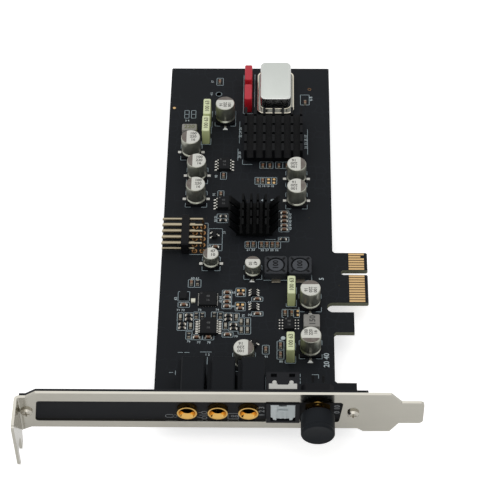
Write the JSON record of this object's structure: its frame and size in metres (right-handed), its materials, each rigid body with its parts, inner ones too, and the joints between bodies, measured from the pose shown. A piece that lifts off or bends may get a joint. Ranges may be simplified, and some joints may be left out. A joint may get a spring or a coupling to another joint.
{
  "type": "sound card",
  "caption": "Plug-in circuit board with an edge connector, a folded steel bracket, audio sockets, an optical output, a volume knob and heat sinks.",
  "frame": {"origin": "mating edge of the edge connector, on the centre line of its key notch, mid-thickness of the board", "axes": "+X out of the connector, +Y along the board away from the bracket, +Z out of the component side"},
  "size_m": [0.1201, 0.1598, 0.0225],
  "materials": {
    "laminate": "satin solder mask on glass laminate",
    "contact_gold": "polished gold plating",
    "bracket_steel": "satin plated steel",
    "panel_black": "matte",
    "screw_steel": "plated",
    "jack_black": "matte",
    "barrel_gold": "gold plated",
    "spring_metal": "satin",
    "port_black": "matte",
    "flap_grey": "satin",
    "emitter_dark": "glossy",
    "insert_white": "matte",
    "control_black": "matte",
    "turned_brass": "satin",
    "shaft_metal": "satin",
    "tinned_metal": "tinned",
    "knob_black": "satin",
    "can_aluminium": "satin",
    "base_black": "matte",
    "film_green": "satin resin",
    "film_red": "satin resin",
    "oscillator_metal": "satin plated",
    "sink_black": "black anodised",
    "chip_black": "matte",
    "pad_grey": "soft",
    "header_black": "matte",
    "ferrite_grey": "matte",
    "moulded_grey": "matte",
    "ceramic_brown": "satin",
    "resistor_black": "satin",
    "light_pale": "glossy"
  },
  "bodies": {
    "card": {"circuit_board": "laminate", "edge_contacts": "contact_gold", "bracket": "bracket_steel", "front_panel": "panel_black", "bracket_screws": "screw_steel", "jack_contacts": "spring_metal", "optical_housing": "port_black", "optical_emitter": "emitter_dark", "optical_insert": "insert_white", "volume_body": "control_black", "volume_bush": "turned_brass", "volume_nut": "turned_brass", "control_legs": "tinned_metal", "capacitor_bases": "base_black", "capacitor_leads": "tinned_metal", "film_leads": "tinned_metal", "oscillator_base": "oscillator_metal", "oscillator_can": "oscillator_metal", "oscillator_pins": "tinned_metal", "large_heat_sink": "sink_black", "small_heat_sink": "sink_black", "controller_chip": "chip_black", "converter_chip": "chip_black", "thermal_pads": "pad_grey", "header_body": "header_black", "header_pins": "tinned_metal", "power_inductor_1": "ferrite_grey", "power_inductor_2": "ferrite_grey", "moulded_inductors": "moulded_grey", "chip_bodies": "chip_black", "chip_leads": "tinned_metal", "ceramic_capacitors": "ceramic_brown", "chip_resistors": "resistor_black", "status_light": "light_pale", "jack_1_housing": "jack_black", "jack_1_barrel": "barrel_gold", "jack_2_housing": "jack_black", "jack_2_barrel": "barrel_gold", "jack_3_housing": "jack_black", "jack_3_barrel": "barrel_gold", "capacitor_can_1": "can_aluminium", "capacitor_can_2": "can_aluminium", "capacitor_can_3": "can_aluminium", "capacitor_can_4": "can_aluminium", "capacitor_can_5": "can_aluminium", "capacitor_can_6": "can_aluminium", "capacitor_can_7": "can_aluminium", "capacitor_can_8": "can_aluminium", "capacitor_can_9": "can_aluminium", "capacitor_can_10": "can_aluminium", "capacitor_can_11": "can_aluminium", "film_capacitor_1": "film_green", "film_capacitor_2": "film_green", "film_capacitor_3": "film_green", "film_capacitor_4": "film_green", "red_film_capacitor_1": "film_red", "red_film_capacitor_2": "film_red"},
    "knob": {"volume_knob": "knob_black", "volume_shaft": "shaft_metal"},
    "flap": {"optical_flap": "flap_grey"}
  },
  "joints": [
    {"name": "knob_turn", "type": "hinge", "parent": "card", "child": "knob", "pos_m": [-0.01655, -0.062, 0.0068], "axis": [0, -1, 0], "range_deg": [-140, 140]},
    {"name": "flap_hinge", "type": "hinge", "parent": "card", "child": "flap", "pos_m": [-0.02675, -0.0574, 0.00985], "axis": [1, 0, 0], "range_deg": [0, 80], "stiffness_Nm_per_rad": 0.00005, "springref_deg": -28.65}
  ]
}
